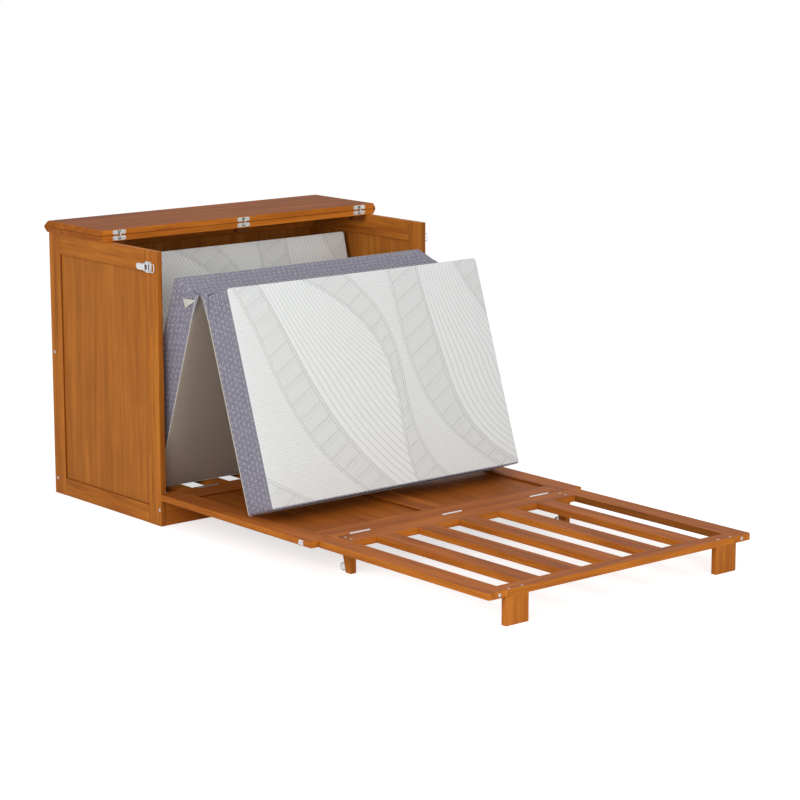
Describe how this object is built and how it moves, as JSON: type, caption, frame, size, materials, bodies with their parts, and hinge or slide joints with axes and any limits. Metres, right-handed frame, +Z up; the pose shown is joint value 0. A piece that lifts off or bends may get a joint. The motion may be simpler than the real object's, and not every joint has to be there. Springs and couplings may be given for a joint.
{
  "type": "cabinet bed",
  "caption": "Folding wooden cabinet bed, half opened, with a hinged lid, fold-down panelled door, slatted foot frame and tri-fold mattress standing inside.",
  "frame": {"origin": "on the floor at the middle of the opened bed, half way along its length and across its width", "axes": "+X to the right seen from the foot end, +Y along the bed to the back of the cabinet, +Z up"},
  "size_m": [1.107, 2.102, 0.8966],
  "materials": {
    "lid_wood": "satin stained pine, redder than the rest",
    "side_wood": "satin stained pine",
    "side_panel_wood": "satin stained pine, grain upright",
    "back_board": "thin plain sheet",
    "inner_wood": "planed pine, light stain",
    "door_wood": "satin stained pine",
    "door_panel_wood": "satin stained pine, grain along the door",
    "foot_wood": "satin stained pine",
    "slat_wood": "satin stained pine",
    "leg_wood": "satin stained pine",
    "latch_steel": "bright nickel plate",
    "hinge_steel": "zinc plate",
    "cup_metal": "satin nickel plate",
    "screw_steel": "zinc plate",
    "bolt_steel": "aged zinc plate",
    "roller_plastic": "hard plastic",
    "mattress_cover": "white quilted knit on one face, lilac-grey border",
    "fold_cloth": "plain woven cloth"
  },
  "bodies": {
    "cabinet": {"side_frame_left": "side_wood", "side_frame_right": "side_wood", "side_panel_left": "side_panel_wood", "side_panel_right": "side_panel_wood", "side_bolts": "bolt_steel", "front_rail": "inner_wood", "back_rails": "inner_wood", "back_sheet": "back_board", "deck_ledgers": "inner_wood", "deck_slats": "inner_wood", "lid_rear": "lid_wood", "lid_hinge_cups_rear": "cup_metal", "lid_screws_rear": "screw_steel", "lid_hinge_blocks": "inner_wood", "latch_base_left": "latch_steel", "latch_base_right": "latch_steel", "latch_pin_left": "latch_steel", "latch_pin_right": "latch_steel", "door_hinge_leaves_cabinet": "hinge_steel", "door_hinge_pins": "hinge_steel"},
    "lid_flap": {"lid_front": "lid_wood", "lid_hinge_cups_front": "cup_metal", "lid_screws_front": "screw_steel"},
    "lid_links": {"lid_hinge_links": "cup_metal"},
    "door": {"door_frame": "door_wood", "door_panels": "door_panel_wood", "door_hinge_leaves_door": "hinge_steel", "frame_hinge_leaves_door": "hinge_steel", "catch_plates": "latch_steel"},
    "foot_frame": {"foot_frame_rails": "foot_wood", "foot_frame_slats": "slat_wood", "foot_frame_bolts": "bolt_steel", "foot_frame_screws": "screw_steel", "legs": "leg_wood", "end_feet": "leg_wood", "roller_brackets": "hinge_steel", "roller_axles": "hinge_steel", "frame_hinge_leaves_frame": "hinge_steel", "frame_hinge_pins": "hinge_steel"},
    "roller_left": {"roller_left": "roller_plastic"},
    "roller_right": {"roller_right": "roller_plastic"},
    "latch_lever_left": {"latch_lever_left": "latch_steel"},
    "latch_lever_right": {"latch_lever_right": "latch_steel"},
    "latch_bail_left": {"latch_bail_left": "latch_steel"},
    "latch_bail_right": {"latch_bail_right": "latch_steel"},
    "mattress_fold": {"mattress_fold_strip": "fold_cloth"},
    "mattress_rear": {"mattress_rear": "mattress_cover"},
    "mattress_middle": {"mattress_middle": "mattress_cover", "mattress_top_fold": "fold_cloth"},
    "mattress_front": {"mattress_front": "mattress_cover"}
  },
  "joints": [
    {"name": "lid_fold", "type": "hinge", "parent": "cabinet", "child": "lid_flap", "pos_m": [0, 0.725, 0.8785], "axis": [1, 0, 0], "range_deg": [0, 180]},
    {"name": "lid_link_turn", "type": "hinge", "parent": "cabinet", "child": "lid_links", "pos_m": [0, 0.725, 0.8785], "axis": [1, 0, 0], "range_deg": [0, 90]},
    {"name": "door_fold", "type": "hinge", "parent": "cabinet", "child": "door", "pos_m": [0, 0.4435, 0.1024], "axis": [-1, 0, 0], "range_deg": [0, 90], "deforming": ["mattress_rear", "mattress_middle", "mattress_front", "mattress_fold_strip", "mattress_top_fold"]},
    {"name": "foot_frame_fold", "type": "hinge", "parent": "door", "child": "foot_frame", "pos_m": [0, -0.3105, 0.1024], "axis": [-1, 0, 0], "range_deg": [0, 180]},
    {"name": "roller_left_spin", "type": "hinge", "parent": "foot_frame", "child": "roller_left", "pos_m": [-0.426, -0.323, 0.0125], "axis": [1, 0, 0], "continuous": true},
    {"name": "roller_right_spin", "type": "hinge", "parent": "foot_frame", "child": "roller_right", "pos_m": [0.426, -0.323, 0.0125], "axis": [1, 0, 0], "continuous": true},
    {"name": "latch_lever_left_turn", "type": "hinge", "parent": "cabinet", "child": "latch_lever_left", "pos_m": [-0.5425, 0.487, 0.809], "axis": [0, 0, 1], "range_deg": [0, 150]},
    {"name": "latch_bail_left_turn", "type": "hinge", "parent": "latch_lever_left", "child": "latch_bail_left", "pos_m": [-0.5461, 0.501, 0.809], "axis": [0, 0, 1], "range_deg": [-165, 0]},
    {"name": "latch_lever_right_turn", "type": "hinge", "parent": "cabinet", "child": "latch_lever_right", "pos_m": [0.5425, 0.487, 0.809], "axis": [0, 0, -1], "range_deg": [0, 150]},
    {"name": "latch_bail_right_turn", "type": "hinge", "parent": "latch_lever_right", "child": "latch_bail_right", "pos_m": [0.5461, 0.501, 0.809], "axis": [0, 0, -1], "range_deg": [-165, 0]},
    {"name": "mattress_fold_slide", "type": "slide", "parent": "cabinet", "child": "mattress_fold", "axis": [0, 0.9866, -0.1629], "range_m": [0, 0.24269]},
    {"name": "mattress_rear_tilt", "type": "hinge", "parent": "mattress_fold", "child": "mattress_rear", "pos_m": [0, 0.64755, 0.14163], "axis": [1, 0, 0], "range_deg": [0, 14.5]},
    {"name": "mattress_middle_tilt", "type": "hinge", "parent": "mattress_fold", "child": "mattress_middle", "pos_m": [0, 0.64585, 0.14163], "axis": [-1, 0, 0], "range_deg": [0, 19.2]},
    {"name": "mattress_front_tilt", "type": "hinge", "parent": "mattress_middle", "child": "mattress_front", "pos_m": [0, 0.28464, 0.74909], "axis": [1, 0, 0], "range_deg": [0, 38]}
  ],
  "couplings": [
    {"joint": "lid_link_turn", "follows": "lid_fold", "ratio": 0.5},
    {"joint": "latch_bail_left_turn", "follows": "latch_lever_left_turn", "ratio": -1.1},
    {"joint": "latch_bail_right_turn", "follows": "latch_lever_right_turn", "ratio": -1.1},
    {"joint": "mattress_fold_slide", "follows": "door_fold", "m_per_rad": 0.1545},
    {"joint": "mattress_rear_tilt", "follows": "door_fold", "ratio": 0.16111},
    {"joint": "mattress_middle_tilt", "follows": "door_fold", "ratio": 0.21333},
    {"joint": "mattress_front_tilt", "follows": "door_fold", "ratio": 0.42222}
  ]
}
